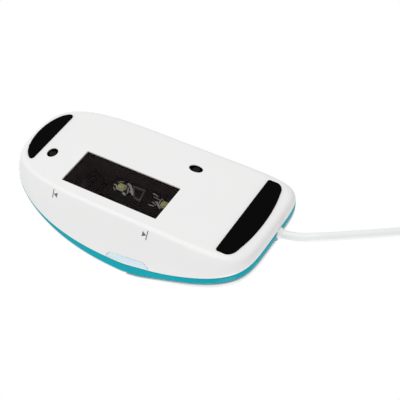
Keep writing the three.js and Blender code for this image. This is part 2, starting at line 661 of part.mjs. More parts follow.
// The plug's parts are made along +Y from its boot and turned round, so it points away from the cord.
function plug() {
  const group = new THREE.Group();
  group.position.set(PLUG.x, PLUG.y, PLUG.z);
  group.rotation.z = Math.PI;
  object.add(group);
  const { boot, grip, shell } = PLUG;
  const [wide, high, round] = [7.8, 3.6, 1.4];
  const section = new THREE.Shape();
  section.moveTo(round - wide, -high).lineTo(wide - round, -high);
  section.quadraticCurveTo(wide, -high, wide, round - high).lineTo(wide, high - round);
  section.quadraticCurveTo(wide, high, wide - round, high).lineTo(round - wide, high);
  section.quadraticCurveTo(-wide, high, -wide, high - round).lineTo(-wide, round - high);
  section.quadraticCurveTo(-wide, -high, round - wide, -high);
  const options = { depth: grip, bevelEnabled: false, curveSegments: 5 };
  const body = new THREE.ExtrudeGeometry(section, options).rotateX(-Math.PI / 2);
  const reach = boot + 1;
  const sleeve = new THREE.CylinderGeometry(3.4, 2.1, reach, 20).translate(0, reach / 2, 0);
  const moulding = join(solidOf(body.translate(0, boot, 0)), solidOf(sleeve));
  part("plug_grip", moulding, PAINT.cord, group);
  const start = boot + grip + GAP;
  const end = start + shell;
  const sheath = block(-6, 6, start, end, -2.25, 2.25);
  const mouth = block(-5.7, 5.7, start + 0.8, end + 1, -1.95, 1.95);
  part("plug_shell", cut(sheath, mouth), PAINT.steel, group);
  const tongue = slab(-5.3, 5.3, start + 1, end - 0.8, -0.1, 1.6);
  part("plug_tongue", tongue, PAINT.black, group);
}

// Assembly ---------------------------------------------------------------------------------

part("bottom_case", bottomCase(), PAINT.shell);
part("trim_band", trimBand(), PAINT.trim);
part("palm_cover", palmCover(), PAINT.shell);
part("left_key", key(-1), PAINT.key);
part("right_key", key(1), PAINT.key);
const { x: pinX, z: pinZ, radius: pinRadius, reach: pinReach } = KEY_PIN;
part("key_pin", barY(pinX, -pinReach, pinReach, pinZ, pinRadius, 20), PAINT.steel);
part("front_foot", plate(footOutline("front_foot"), 0, FOOT_HEIGHT + FOOT_POCKET, 6), PAINT.rubber);
part("rear_foot", plate(footOutline("rear_foot"), 0, FOOT_HEIGHT + FOOT_POCKET, 6), PAINT.rubber);
part("scan_button", scanButton(), PAINT.scan);
optics();
electronics();
part("wheel_cradle", wheelCradle(), PAINT.black);
part("wheel_encoder", encoder(), PAINT.chip);
wheel();
cord();
plug();

export default object;
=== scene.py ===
# Scanner mouse, seen from below: smooth shells, studio-lit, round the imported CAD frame.
import json
import math

import bpy
import numpy as np
from mathutils import Matrix, Vector


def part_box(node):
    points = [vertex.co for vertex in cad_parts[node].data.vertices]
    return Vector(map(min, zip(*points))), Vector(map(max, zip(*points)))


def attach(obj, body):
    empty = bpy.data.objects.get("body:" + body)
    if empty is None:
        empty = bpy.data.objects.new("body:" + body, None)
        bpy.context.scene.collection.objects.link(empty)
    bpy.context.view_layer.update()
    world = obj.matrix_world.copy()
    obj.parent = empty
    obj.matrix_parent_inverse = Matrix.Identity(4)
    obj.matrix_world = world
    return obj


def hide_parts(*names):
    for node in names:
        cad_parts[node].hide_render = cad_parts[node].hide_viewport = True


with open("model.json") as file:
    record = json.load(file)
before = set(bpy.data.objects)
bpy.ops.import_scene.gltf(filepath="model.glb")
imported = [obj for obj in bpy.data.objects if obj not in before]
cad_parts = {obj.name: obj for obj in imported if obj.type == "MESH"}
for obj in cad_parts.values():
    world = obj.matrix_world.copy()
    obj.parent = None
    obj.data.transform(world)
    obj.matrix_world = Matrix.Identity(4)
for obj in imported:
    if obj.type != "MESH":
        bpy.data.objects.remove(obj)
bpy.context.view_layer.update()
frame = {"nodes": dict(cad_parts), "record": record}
MM = 0.001

# Camera -----------------------------------------------------------------------------------

CAMERA_PLACE = Vector((-196.48, -272.36, -332.42)) * MM
CAMERA_RIGHT = Vector((-0.8603, 0.5090, 0.0275))
CAMERA_DOWN = Vector((-0.3508, -0.6303, 0.6925))
LENS = 105.6
SENSOR = 36.0


def make_camera():
    data = bpy.data.cameras.new("camera")
    data.lens = LENS
    data.sensor_width = SENSOR
    data.clip_start = 0.01
    data.clip_end = 20
    camera = bpy.data.objects.new("camera", data)
    bpy.context.collection.objects.link(camera)
    forward = CAMERA_RIGHT.cross(CAMERA_DOWN)
    turn = Matrix((CAMERA_RIGHT, -CAMERA_DOWN, -forward)).transposed().to_4x4()
    camera.matrix_world = Matrix.Translation(CAMERA_PLACE) @ turn
    bpy.context.scene.camera = camera


make_camera()

# Surface formulas, in millimetres ---------------------------------------------------------

FOOT_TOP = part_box("front_foot")[1][2] / MM
SOLE_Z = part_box("bottom_case")[0][2] / MM
HEIGHT = 34.0
WALL = 2.0
CEILING = SOLE_Z + WALL
WAIST = {"front": 58.3, "rear": 57.7, "side": 30.5, "front_power": 5.0, "rear_power": 2.7}
SOLE = {"front": 57.0, "rear": 54.8, "side": 23.9, "front_power": 6.5, "rear_power": 3.5}
SOLE_RADIUS = 1.3
FLARE_POWER = 0.83
PEAK_BACK, PEAK_HEIGHT = 3.0, 23.2
FALL = {"front": 0.368, "crest": 10.0, "rear": 16.2}
NOSE = {"start": 46.0, "reach": 9.0, "lift": 0.4}
BAND = {"widest": 4.7, "middle": 11.0, "nose": 2.8, "fade": 10.0, "tail": 0.3, "length": 55.0}
HUG_REAR, HUG_FRONT = 0.72, 0.45
CROWN_X = 10.0
CROWN_FRONT = {"drop": 13.0, "reach": 67.5, "power": 1.9}
CROWN_REAR = {"drop": 8.4, "reach": 47.5, "power": 2.2}
DOME_POWER = 0.9
DOME_LIMIT = 0.985 * math.pi / 2
BAND_WALL, BAND_PROUD = 1.8, 0.05
CAD_GAP = 0.3
SEAM = 0.1
PALM_GAP = 0.12
KEY_GAP = 0.9
SEGMENTS = 320
TURNS = (np.arange(SEGMENTS) + 0.5) / SEGMENTS * 2 * math.pi


def outline(shape, turn, inset=0.0):
    """A superellipse with its own length and power at each end."""
    c = np.cos(turn)
    s = np.sin(turn)
    ahead = c < 0
    power = np.where(ahead, shape["front_power"], shape["rear_power"])
    length = np.where(ahead, shape["front"], shape["rear"]) - inset
    k = (np.abs(c) ** power + np.abs(s) ** power) ** (-1 / power)
    return c * length * k, s * (shape["side"] - inset) * k


def waist_height(x):
    ahead = -x - PEAK_BACK
    level = NOSE["lift"] * (np.clip(ahead - NOSE["start"], 0, None) / NOSE["reach"]) ** 2
    front = level - FALL["front"] * (np.hypot(ahead, FALL["crest"]) - FALL["crest"])
    rear = -FALL["rear"] * (ahead / (WAIST["rear"] + PEAK_BACK)) ** 2
    return PEAK_HEIGHT + np.where(ahead > 0, front, rear)


def band_width(x):
    ahead = -x - BAND["middle"]
    front = BAND["nose"] + (BAND["widest"] - BAND["nose"]) * np.exp(-((ahead / BAND["fade"]) ** 2))
    share = np.clip(-ahead / BAND["length"], 0, 1)
    rear = BAND["tail"] + (BAND["widest"] - BAND["tail"]) * np.cos(share * math.pi / 2)
    return np.where(ahead > 0, front, rear)


def band_edge(turn, side):
    x, _ = outline(WAIST, turn)
    return waist_height(x) + side * band_width(x) / 2


def rim_height(turn):
    return band_edge(turn, -1) - SEAM


def wall_ring(turn, z, inset=0.0):
    """Points of the bottom case's wall, which flares from the sole to the rim."""
    rise = np.clip((z - SOLE_Z) / (band_edge(turn, -1) - CAD_GAP - SOLE_Z), 0, 1)
    flare = np.sin(rise * math.pi / 2) ** FLARE_POWER
    x0, y0 = outline(SOLE, turn, inset)
    x1, y1 = outline(WAIST, turn, inset)
    return np.stack([x0 + (x1 - x0) * flare, y0 + (y1 - y0) * flare, z + 0 * x0], axis=-1)


def crown_drop(way, distance):
    return way["drop"] * (np.clip(distance, 0, None) / way["reach"]) ** way["power"]


def crown(x):
    """Height of the middle line of the top, which falls away on both sides of CROWN_X."""
    ahead = CROWN_X - x
    return HEIGHT - np.where(ahead > 0, crown_drop(CROWN_FRONT, ahead), crown_drop(CROWN_REAR, -ahead))


def dome_ring(turn, lift, inset, edge_gap):
    """Points of the top: at lift 0 on the edge above the band, at 90 degrees on the crown."""
    edge = band_edge(turn, 1) + edge_gap
    hug = HUG_REAR + HUG_FRONT * np.clip(-np.cos(turn), 0, 1) ** 2
    scale = 1 - (1 - math.cos(lift)) ** hug
    x, y = outline(WAIST, turn, inset)
    x, y = x * scale, y * scale
    return np.stack([x, y, edge + (crown(x) - inset - edge) * math.sin(lift) ** DOME_POWER], axis=-1)


def left_wall_turn(x, z):
    """The turn at which the left wall passes through x at height z."""
    low, high = math.pi, 2 * math.pi
    for _ in range(40):
        middle = (low + high) / 2
        if wall_ring(np.array([middle]), z)[0, 0] < x:
            low = middle
        else:
            high = middle
    return low


def left_wall(x, z, proud=0.0):
    """The point of the left wall at x and z, moved out by proud along Y."""
    y = wall_ring(np.array([left_wall_turn(x, z)]), z)[0, 1]
    return (x, y - proud, z)


# Mesh helpers -----------------------------------------------------------------------------


def add_object(name, mesh, material):
    mesh.materials.append(material)
    piece = bpy.data.objects.new(name, mesh)
    bpy.context.collection.objects.link(piece)
    return piece


def shade(piece, sharp=32.0):
    """Smooth shading with hard edges where faces meet at more than the sharp angle."""
    piece.data.shade_smooth()
    piece.data.set_sharp_from_angle(angle=math.radians(sharp))
    weighted = piece.modifiers.new("weighted", "WEIGHTED_NORMAL")
    weighted.keep_sharp = True
    return piece


def from_faces(name, points, faces, material, sharp=32.0):
    mesh = bpy.data.meshes.new(name)
    mesh.from_pydata([tuple(float(v) * MM for v in p) for p in points], [], faces)
    mesh.update()
    piece = add_object(name, mesh, material)
    return shade(piece, sharp) if sharp else piece


def loft(name, rings, material, ends="capped", sharp=32.0):
    """A closed surface through rings of points; its ends are capped, or joined to each other."""
    count = len(rings[0])
    points = np.concatenate([np.asarray(ring, dtype=float) for ring in rings])
    faces = []
    last = len(rings) if ends == "joined" else len(rings) - 1
    for r in range(last):
        a = r * count
        b = (r + 1) % len(rings) * count
        for i in range(count):
            j = (i + 1) % count
            faces.append((a + i, a + j, b + j, b + i))
    if ends == "capped":
        faces.append(tuple(range(count - 1, -1, -1)))
        faces.append(tuple(last * count + i for i in range(count)))
    piece = from_faces(name, points, faces, material, None)
    face_out(piece)
    return shade(piece, sharp) if sharp else piece


def face_out(piece):
    """Turns a closed mesh's faces outwards."""
    volume = 0.0
    vertices = piece.data.vertices
    for polygon in piece.data.polygons:
        first, *rest = (vertices[i].co for i in polygon.vertices)
        for second, third in zip(rest, rest[1:]):
            volume += first.dot(second.cross(third))
    if volume < 0:
        piece.data.flip_normals()


def rounded_rectangle(x0, x1, y0, y1, radius, spread=0.0, steps=5):
    """Corner-rounded outline, anticlockwise from the +X +Y corner, grown by spread."""
    radius = max(radius + spread, 0.01)
    corners = ((x1, y1, 0), (x0, y1, 90), (x0, y0, 180), (x1, y0, 270))
    points = []
    for x, y, start in corners:
        sx = 1 if x == x1 else -1
        sy = 1 if y == y1 else -1
        cx = x + sx * (spread - radius)
        cy = y + sy * (spread - radius)
        for k in range(steps + 1):
            angle = math.radians(start + 90 * k / steps)
            points.append((cx + radius * math.cos(angle), cy + radius * math.sin(angle)))
    return points


def at_height(points, z):
    return [(x, y, z) for x, y in points]


def box_rings(x0, x1, y0, y1, z0, z1, radius=0.4, edge=0.0):
    """Rings of an upright box with rounded corners, its rims rounded by edge."""
    if edge <= 0:
        return [at_height(rounded_rectangle(x0, x1, y0, y1, radius), z) for z in (z0, z1)]
    angles = [math.radians(a) for a in (0, 22.5, 45, 67.5, 90)]
    low = [(z0 + edge * (1 - math.sin(a)), -edge * (1 - math.cos(a))) for a in reversed(angles)]
    high = [(z1 - edge * (1 - math.sin(a)), -edge * (1 - math.cos(a))) for a in angles]
    return [at_height(rounded_rectangle(x0, x1, y0, y1, radius, s), z) for z, s in low + high]


def box(name, corners, material, radius=0.4, edge=0.0):
    return loft(name, box_rings(*corners, radius, edge), material)


def circle(x, y, rx, ry, count=48):
    angles = np.arange(count) / count * 2 * math.pi
    return [(x + rx * math.cos(a), y + ry * math.sin(a)) for a in angles]


def turned(name, profile, material, count=48, sharp=32.0):
    """A piece turned about Z from pairs of radius and height, whose ends are flat discs."""
    rings = [at_height(circle(0, 0, r, r, count), z) for r, z in profile]
    return loft(name, rings, material, sharp=sharp)


def place(piece, matrix):
    """Moves a piece's mesh itself, in millimetres, so its object stays at the origin."""
    scaled = matrix.copy()
    scaled.translation = scaled.translation * MM
    piece.data.transform(scaled)
    return piece


def turn_about(axis, degrees):
    return Matrix.Rotation(math.radians(degrees), 4, axis)


def along_x(y, z):
    """From upright to lying along X through y and z."""
    return Matrix.Translation((0, y, z)) @ turn_about("Y", 90)


def along_y(x, z):
    """From upright to lying along Y through x and z."""
    return Matrix.Translation((x, 0, z)) @ turn_about("X", -90)


def carve(piece, tools, operation="DIFFERENCE"):
    """Cuts, joins or intersects a piece with others, which are used up."""
    for tool in tools:
        modifier = piece.modifiers.new("carve", "BOOLEAN")
        modifier.operation = operation
        modifier.solver = "MANIFOLD"
        modifier.object = tool
    settled = piece.evaluated_get(bpy.context.evaluated_depsgraph_get())
    old = piece.data
    piece.data = bpy.data.meshes.new_from_object(settled)
    piece.modifiers.clear()
    bpy.data.meshes.remove(old)
    for tool in tools:
        used = tool.data
        bpy.data.objects.remove(tool)
        bpy.data.meshes.remove(used)
    return piece


def merge(name, pieces):
    """Joins separate pieces into one object without changing their shapes."""
    points = []
    faces = []
    for piece in pieces:
        start = len(points)
        points += [tuple(v.co) for v in piece.data.vertices]
        faces += [tuple(start + i for i in p.vertices) for p in piece.data.polygons]
    material = pieces[0].data.materials[0]
    mesh = bpy.data.meshes.new(name)
    mesh.from_pydata(points, [], faces)
    mesh.update()
    for piece in pieces:
        used = piece.data
        bpy.data.objects.remove(piece)
        bpy.data.meshes.remove(used)
    return shade(add_object(name, mesh, material))


# Materials --------------------------------------------------------------------------------


def new_material(name):
    material = bpy.data.materials.new(name)
    material.use_nodes = True
    nodes = material.node_tree.nodes
    links = material.node_tree.links
    shader = nodes["Principled BSDF"]
    coordinates = nodes.new("ShaderNodeTexCoord")
    return material, nodes, links, shader, coordinates


def noise(nodes, links, coordinates, scale, detail=3.0, stretch=None):
    texture = nodes.new("ShaderNodeTexNoise")
    texture.inputs["Scale"].default_value = scale
    texture.inputs["Detail"].default_value = detail
    source = coordinates.outputs["Object"]
    if stretch:
        mapping = nodes.new("ShaderNodeMapping")
        mapping.inputs["Scale"].default_value = stretch
        links.new(source, mapping.inputs["Vector"])
        source = mapping.outputs["Vector"]
    links.new(source, texture.inputs["Vector"])
    return texture.outputs["Fac"]


def spread_value(nodes, links, source, low, high, target):
    """Maps a noise's middle range to values between low and high."""
    ramp = nodes.new("ShaderNodeMapRange")
    ramp.inputs["From Min"].default_value = 0.3
    ramp.inputs["From Max"].default_value = 0.7
    ramp.inputs["To Min"].default_value = low
    ramp.inputs["To Max"].default_value = high
    links.new(source, ramp.inputs["Value"])
    links.new(ramp.outputs["Result"], target)


def spread_colour(nodes, links, source, first, second, target):
    ramp = nodes.new("ShaderNodeValToRGB")
    ramp.color_ramp.elements[0].position = 0.3
    ramp.color_ramp.elements[1].position = 0.7
    ramp.color_ramp.elements[0].color = (*first, 1)
    ramp.color_ramp.elements[1].color = (*second, 1)
    links.new(source, ramp.inputs["Fac"])
    links.new(ramp.outputs["Color"], target)


def grain(nodes, links, shader, source, depth, strength):
    bump = nodes.new("ShaderNodeBump")
    bump.inputs["Distance"].default_value = depth * MM
    bump.inputs["Strength"].default_value = strength
    links.new(source, bump.inputs["Height"])
    links.new(bump.outputs["Normal"], shader.inputs["Normal"])


def moulded(name, colour, rough, vary=0.02, grain_scale=2600, depth=0.02, strength=0.25, **sockets):
    """Moulded plastic or rubber: fine spark-eroded grain, with slow drifts of colour and gloss."""
    material, nodes, links, shader, coordinates = new_material(name)
    broad = noise(nodes, links, coordinates, 55, 4)
    darker = [c * (1 - vary) for c in colour]
    lighter = [min(1, c * (1 + vary)) for c in colour]
    spread_colour(nodes, links, broad, darker, lighter, shader.inputs["Base Color"])
    spread_value(nodes, links, broad, rough * 0.88, rough * 1.12, shader.inputs["Roughness"])
    fine = noise(nodes, links, coordinates, grain_scale, 2)
    grain(nodes, links, shader, fine, depth, strength)
    for socket, value in sockets.items():
        shader.inputs[socket.replace("_", " ")].default_value = value
    return material


def metal(name, colour, rough, stretch=(1, 1, 1)):
    """Plated or drawn metal with fine scratches."""
    material, nodes, links, shader, coordinates = new_material(name)
    shader.inputs["Metallic"].default_value = 1
    broad = noise(nodes, links, coordinates, 160, 4)
    scratches = noise(nodes, links, coordinates, 900, 3, stretch)
    darker = [c * 0.86 for c in colour]
    spread_colour(nodes, links, broad, darker, colour, shader.inputs["Base Color"])
    spread_value(nodes, links, scratches, rough * 0.75, rough * 1.3, shader.inputs["Roughness"])
    grain(nodes, links, shader, scratches, 0.01, 0.2)
    return material


def clear(name, colour, alpha, rough, specular):
    """A clear or smoked moulding; what is behind it shows straight through."""
    material, nodes, links, shader, coordinates = new_material(name)
    shader.inputs["Alpha"].default_value = alpha
    shader.inputs["Specular IOR Level"].default_value = specular
    dust = noise(nodes, links, coordinates, 700, 3)
    darker = [c * 0.8 for c in colour]
    spread_colour(nodes, links, dust, darker, colour, shader.inputs["Base Color"])
    spread_value(nodes, links, dust, rough * 0.6, rough * 1.5, shader.inputs["Roughness"])
    return material


def circuit_board(name):
    """Green solder mask over copper tracks, with lighter track edges."""
    material, nodes, links, shader, coordinates = new_material(name)
    cells = nodes.new("ShaderNodeTexBrick")
    cells.inputs["Scale"].default_value = 300
    cells.inputs["Color1"].default_value = (0.008, 0.085, 0.03, 1)
    cells.inputs["Color2"].default_value = (0.012, 0.12, 0.045, 1)
    cells.inputs["Mortar"].default_value = (0.02, 0.19, 0.07, 1)
    cells.inputs["Mortar Size"].default_value = 0.03
    links.new(coordinates.outputs["Object"], cells.inputs["Vector"])
    links.new(cells.outputs["Color"], shader.inputs["Base Color"])
    haze = noise(nodes, links, coordinates, 400, 3)
    spread_value(nodes, links, haze, 0.3, 0.45, shader.inputs["Roughness"])
    grain(nodes, links, shader, cells.outputs["Fac"], 0.03, 0.4)
    return material


PAINT = {
    "shell": moulded("shell_white", (0.85, 0.835, 0.82), 0.34, 0.006),
    "key": moulded("key_white", (0.85, 0.85, 0.845), 0.27, 0.006),
    "trim": moulded("trim_teal", (0.0, 0.37, 0.44), 0.36, 0.04, Specular_IOR_Level=0.06),
    "scan": moulded(
        "scan_translucent", (0.68, 0.82, 0.88), 0.24, 0.03, Subsurface_Weight=0.25,
        Subsurface_Scale=0.002, Coat_Weight=0.4,
    ),
    "window": clear("window_smoked", (0.018, 0.012, 0.012), 0.25, 0.04, 0.1),
    # The lens is painted near black and mostly opaque: painted shade for the dark inside of the tracking
    # holes.
    "lens": clear("lens_painted_shade", (0.012, 0.007, 0.004), 0.7, 0.06, 0.15),
    "black": moulded("black_moulding", (0.003, 0.003, 0.003), 0.6, 0.3, Specular_IOR_Level=0.08),
    "foot": moulded(
        "foot_black", (0.0015, 0.0014, 0.0014), 0.75, 0.3, 1900, 0.03, 0.5, Specular_IOR_Level=0.03,
    ),
    "grey": moulded("grey_moulding", (0.2, 0.2, 0.2), 0.5, 0.12),
    # The hood's brown is painted light: its black moulding made lighter where light through the window
    # falls on it.
    "hood": moulded("hood_painted_light_brown", (0.05, 0.036, 0.032), 0.6, 0.35, 900, Specular_IOR_Level=0.08),
    "frame": moulded("frame_umber", (0.16, 0.13, 0.12), 0.4, 0.12),
    "board": circuit_board("board_green"),
    "chip": moulded("chip_epoxy", (0.009, 0.009, 0.01), 0.55, 0.25, 3200, 0.03, 0.5),
    "phosphor": moulded("phosphor_yellow", (0.9, 0.88, 0.25), 0.45, 0.08, 4000),
    "cream": moulded("cream_nylon", (0.78, 0.75, 0.65), 0.45, 0.04),
    "cord": moulded("cord_white", (0.85, 0.85, 0.84), 0.42, 0.012, 1500, 0.03, 0.3),
    "steel": metal("plated_steel", (0.62, 0.63, 0.65), 0.3, (1, 6, 1)),
    "clip": moulded("clip_bright", (0.66, 0.63, 0.54), 0.3, 0.3, 900),
    "mirror": metal("front_mirror", (0.03, 0.027, 0.035), 0.12),
    "print": moulded("printed_grey", (0.13, 0.13, 0.135), 0.5, 0.15, 3500),
}


def paint_frame():
    """Every CAD node that still shows takes its slot's material, but the hood's black is painted a lighter
    brown: painted light where it is lit through the window.
    """
    for row in frame["record"]["subparts"]:
        node = frame["nodes"][row["node"]]
        node.data.materials.clear()
        own = "hood" if row["node"] == "optics_hood" else row["material_slot"]
        node.data.materials.append(PAINT[own])


paint_frame()


def stand_for(piece, slot, *nodes):
    """A new piece takes the place of CAD nodes and rides with their body; the slot argument is not used."""
    bodies = {row: body for body, names in BODIES.items() for row in names}
    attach(piece, bodies[nodes[0]])
    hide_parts(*nodes)
    return piece


BODIES = frame["record"]["behaviour"]["bodies"]

# Cord -------------------------------------------------------------------------------------

GLAND_RADIUS = 2.4
BORE_CLEARANCE, NOTCH_CLEARANCE = 0.12, 1.2
CORD_DIAMETER = 3.4
CORD_LAY = 1.8
ROUTE = [
    (-59.3, 3.5, 7.1), (-61, 3.5, 6.8), (-63.1, 3.35, 6.1), (-65.8, 3.15, 5), (-68.4, 3.15, 3.9),
    (-70.8, 3.45, 2.9), (-73, 4.1, 2.2), (-75.1, 5, 1.85), (-79, 7.4, 1.8), (-84.3, 11.1, 1.8),
    (-90.4, 15.2, 1.8), (-100.5, 22.2, 1.8), (-108, 27.4, 1.8), (-114.4, 31.8, 1.8),
]
COIL = {"x": -137.6, "y": 20.8, "radius": 18.7, "columns": 3, "rows": 4, "start": 55.3}
PLUG = {"x": -159.7, "y": -9.0, "z": 4.0, "boot": 8.0, "grip": 16.0, "shell": 18.7}
TAIL = [
    (PLUG["x"], 13, 11.9), (PLUG["x"], 9.4, 10.6), (PLUG["x"], 5.4, 8.4), (PLUG["x"], 2, 6.8),
    (PLUG["x"], -1.5, 5.3), (PLUG["x"], -5, 4.3), (PLUG["x"], -8.7, 4), (PLUG["x"], -12, 4),
]


def coil_points():
    """Turns laid beside and on each other: out to in, then in to out one row higher."""
    columns = COIL["columns"]
    turns = columns * COIL["rows"]
    laid = []
    for turn in range(turns):
        row, step = divmod(turn, columns)
        column = columns - 1 - step if row % 2 == 0 else step
        radius = COIL["radius"] + (column - (columns - 1) / 2) * CORD_DIAMETER
        laid.append((radius, CORD_LAY + row * CORD_DIAMETER))
    points = []
    per_turn = 24
    whole = (turns - 1) * per_turn + round((180 - COIL["start"]) / 360 * per_turn)
    for k in range(whole + 1):
        turn, part = divmod(k / per_turn, 1)
        (r0, z0), (r1, z1) = laid[int(turn)], laid[min(int(turn) + 1, turns - 1)]
        ease = max(0.0, (part - 0.75) / 0.25)
        ease = ease * ease * (3 - 2 * ease)
        angle = math.radians(COIL["start"] + 360 * k / per_turn)
        radius = r0 + (r1 - r0) * ease
        x = COIL["x"] + radius * math.cos(angle)
        y = COIL["y"] + radius * math.sin(angle)
        points.append((x, y, z0 + (z1 - z0) * ease))
    return points


def cord_curve(name, points, diameter):
    curve = bpy.data.curves.new(name, "CURVE")
    curve.dimensions = "3D"
    curve.bevel_depth = diameter / 2 * MM
    curve.bevel_resolution = 6
    curve.resolution_u = 6
    curve.use_fill_caps = True
    spline = curve.splines.new("BEZIER")
    spline.bezier_points.add(len(points) - 1)
    for knot, point in zip(spline.bezier_points, points):
        knot.co = Vector(point) * MM
        knot.handle_left_type = "AUTO"
        knot.handle_right_type = "AUTO"
    curve.materials.append(PAINT["cord"])
    piece = bpy.data.objects.new(name, curve)
    bpy.context.collection.objects.link(piece)
    return piece


def make_tie():
    """A flat black band round one side of the coil, with a small buckle on top."""
    low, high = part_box("cord_tie")
    x0, y0, _ = (v / MM for v in low)
    x1, y1, top = (v / MM for v in high)
    middle = (x0 + x1) / 2
    thick = 1.0
    outer, inner = (
        rounded_rectangle(y0 + side, y1 - side, 0.05 + side * 0.05, top - side, 2.2 - side, 0, 6)
        for side in (0, thick)
    )
    corners = ((x0, outer), (x1, outer), (x1, inner), (x0, inner))
    rings = [[(x, y, z) for y, z in loop] for x, loop in corners]
    strap = loft("cord_tie_strap", rings, PAINT["black"], "joined")
    corners = (middle - 3, middle + 3, y0 + 3, y0 + 7, top - 0.6, top + 0.6)
    buckle = box("cord_tie_buckle", corners, PAINT["black"], 0.5, 0.3)
    return merge("cord_tie_band", [strap, buckle])


def make_plug():
    """The USB plug: a moulded grip with its boot, a folded steel shell, and the contact tongue."""
    boot_length, grip_length, shell_length = PLUG["boot"], PLUG["grip"], PLUG["shell"]
    ends = [(0, 5.2), (0.25, 5.9), (0.8, 6.6), (1.6, 7.1), (2.6, 7.3)]
    stations = ends + [(8.5, 7.8), (12, 7.6)]
    stations += [(grip_length - along * 0.5, half) for along, half in reversed(ends)]
    rings = []
    for along, half in stations:
        flat = half * 0.46
        section = rounded_rectangle(-half, half, -flat, flat, min(1.7, flat * 0.9), 0, 6)
        rings.append(at_height(section, boot_length + along))
    grip = loft("plug_moulding_grip", rings, PAINT["cord"])
    profile = [(1.95, 0)]
    for k in range(5):
        start = 0.2 + k * 1.5
        wide = 2.3 + k * 0.24
        profile += [(wide, start), (wide, start + 0.9)]
        profile += [(wide - 0.4, start + 1.05), (wide - 0.4, start + 1.35)]
    profile += [(3.35, boot_length - 0.1), (3.35, boot_length + 0.5)]
    boot = turned("plug_moulding_boot", profile, PAINT["cord"], 40)
    moulding = merge("plug_moulding", [grip, boot])
    first = boot_length + grip_length + CAD_GAP
    last = first + shell_length
    shell = box("plug_steel", (-6, 6, -2.25, 2.25, first - 0.6, last), PAINT["steel"], 0.5)
    tools = [box("bore", (-5.7, 5.7, -1.95, 1.95, first + 0.8, last + 1), PAINT["steel"], 0.3)]
    for x in (-2.9, 2.9):
        tools.append(box("latch", (x - 1.15, x + 1.15, -4, 4, last - 8, last - 5.6), PAINT["steel"], 0.1))
    carve(shell, tools)
    shade(shell)
    base = box("plug_contact_base", (-5.3, 5.3, -0.1, 1.6, first + 1, last - 0.8), PAINT["black"], 0.2)
    strips = [
        box("contact", (x - 0.5, x + 0.5, -0.18, 0.1, last - 9, last - 1.6), PAINT["steel"], 0.05)
        for x in (-3.5, -1.2, 1.2, 3.5)
    ]
    contacts = merge("plug_contacts", strips)
    turn = turn_about("Z", 180) @ turn_about("X", -90)
    to_place = Matrix.Translation((PLUG["x"], PLUG["y"], PLUG["z"])) @ turn
    for piece in (moulding, shell, base, contacts):
        place(piece, to_place)
    return moulding, shell, base, contacts


def make_gland():
    """A smooth tapered collar where the cord leaves the band."""
    profile = [(3.5, -53.3), (3.5, -54.9), (GLAND_RADIUS, -55), (GLAND_RADIUS, -58.6),
               (2.25, -59), (1.98, -59.5), (1.76, -60.1)]
    collar = turned("cord_collar", profile[::-1], PAINT["cord"], 40, 50)
    place(collar, along_x(ROUTE[0][1], ROUTE[0][2]))
    return stand_for(collar, "cord", "cable_gland")


def make_cord():
    points = ROUTE + coil_points() + TAIL
    cord = cord_curve("cord_run", points, CORD_DIAMETER)
    tie = make_tie()
    make_gland()
    moulding, shell, tongue, contacts = make_plug()
    stand_for(cord, "cord", "cord", "cord_coil", "cord_tail")
    stand_for(tie, "black", "cord_tie")
    stand_for(moulding, "cord", "plug_grip")
    stand_for(shell, "steel", "plug_shell")
    stand_for(tongue, "black", "plug_tongue")
    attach(contacts, "mouse_body")


make_cord()

# Bottom case and band ---------------------------------------------------------------------

WINDOW = {"x": 6.7, "y": -9.2, "length": 44.7, "width": 18.9, "recess": 0.7, "rebate": 1.5}
TRACKERS = {"front": (-15.2, 12.9, 3.1, 1.9), "rear": (41.4, -7.6, 2.1, 2.7)}
SLEEVE = {"low": 1.05, "high": 4.9, "wall": 0.22}


def window_edges():
    x, y = WINDOW["x"], WINDOW["y"]
    half, side = WINDOW["length"] / 2, WINDOW["width"] / 2
    return x - half, x + half, y - side, y + side


def cord_hole(clearance, material):
    """The bore through which the cord's collar passes, lying along X."""
    radius = GLAND_RADIUS + clearance
    bore = turned("cord_hole", [(radius, -62), (radius, -50)], material, 32, None)
    return place(bore, along_x(ROUTE[0][1], ROUTE[0][2]))


def middle_of(node):
    """The middle of a CAD node's box, in millimetres."""
    low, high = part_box(node)
    return [(low[axis] + high[axis]) / 2 / MM for axis in range(3)]


def mouth(outline_at, depth, edge=0.25):
    """Rings of a hole cutter from below the sole upwards, with a rounded mouth."""
    levels = [(SOLE_Z - 1, edge * 2), (SOLE_Z - 0.001, edge * 1.05)]
    for degrees in (15, 35, 55, 75, 90):
        angle = math.radians(degrees)
        levels.append((SOLE_Z + edge * (1 - math.cos(angle)), edge * (1 - math.sin(angle))))
    levels.append((SOLE_Z + depth, 0))
    return [at_height(outline_at(spread), z) for z, spread in levels]


